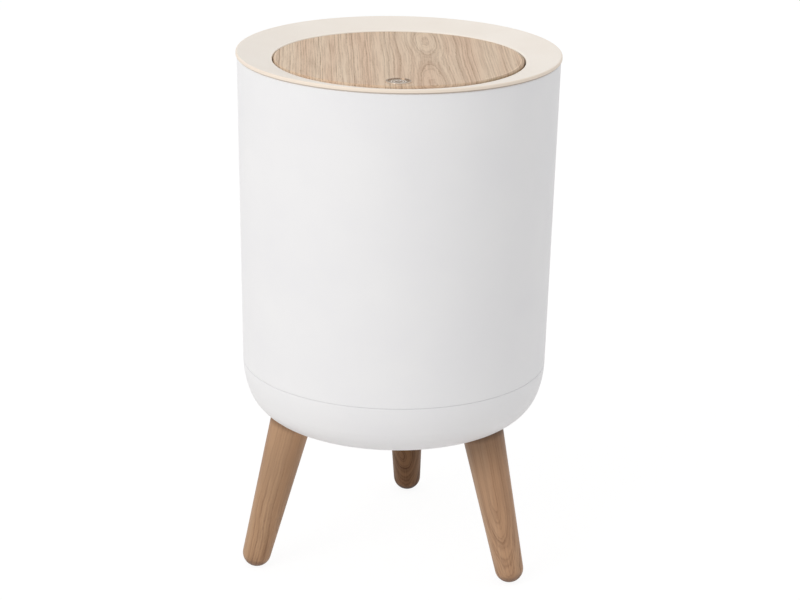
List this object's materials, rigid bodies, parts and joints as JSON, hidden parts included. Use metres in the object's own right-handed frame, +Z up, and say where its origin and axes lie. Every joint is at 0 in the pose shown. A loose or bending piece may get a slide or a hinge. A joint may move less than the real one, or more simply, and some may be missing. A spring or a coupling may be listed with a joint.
{
  "type": "push top countertop bin",
  "caption": "Round countertop bin on three splayed wooden legs, with a dished lift-off ring, a wooden push flap on side pivots and a removable bucket.",
  "frame": {"origin": "on the floor, on the axis of the shell", "axes": "+Z up, -Y the front where the press mark is, +X to the right seen from the front"},
  "size_m": [0.213, 0.2147, 0.35],
  "materials": {
    "shell_white": "fine matte moulded plastic",
    "ring_cream": "satin moulded plastic, cream",
    "flap_oak": "light oak, matte lacquer, grain from front to back",
    "leg_oak": "turned oak, warm brown oil",
    "carrier_white": "matte moulded plastic",
    "steel": "zinc-plated steel",
    "brass": "turned brass",
    "mark_chrome": "polished with a darker dish",
    "bucket_grey": "moulded polypropylene",
    "bush_nylon": "natural nylon"
  },
  "bodies": {
    "bin": {"base_bowl": "shell_white", "body_shell": "shell_white", "leg_front_left": "leg_oak", "leg_front_right": "leg_oak", "leg_rear": "leg_oak", "leg_studs": "steel", "leg_nuts": "brass"},
    "lid": {"lid_ring": "ring_cream", "pivot_bush_left": "bush_nylon", "pivot_bush_right": "bush_nylon"},
    "flap": {"flap_disc": "flap_oak", "flap_carrier": "carrier_white", "flap_screws": "steel", "press_mark": "mark_chrome", "pivot_pin_left": "steel", "pivot_pin_right": "steel", "pin_keeper_left": "steel", "pin_keeper_right": "steel", "keeper_screws": "steel", "flap_weight": "steel", "weight_screws": "steel"},
    "bucket": {"inner_bucket": "bucket_grey"},
    "bail": {"bail_wire": "steel", "bail_grip": "carrier_white"}
  },
  "joints": [
    {"name": "lid_lift", "type": "slide", "parent": "bin", "child": "lid", "axis": [0, 0, 1], "range_m": [0, 0.45]},
    {"name": "flap_swing", "type": "hinge", "parent": "lid", "child": "flap", "pos_m": [0, 0, 0.3374], "axis": [1, 0, 0], "range_deg": [-79.3, 80.7]},
    {"name": "bucket_lift", "type": "slide", "parent": "bin", "child": "bucket", "axis": [0, 0, 1], "range_m": [0, 0.226]},
    {"name": "bail_swing", "type": "hinge", "parent": "bucket", "child": "bail", "pos_m": [0, 0, 0.333], "axis": [1, 0, 0], "range_deg": [0, 90]}
  ],
  "couplings": [
    {"joint": "bucket_lift", "follows": "lid_lift", "ratio": 0.5},
    {"joint": "bail_swing", "follows": "lid_lift", "rad_per_m": 3.49}
  ]
}
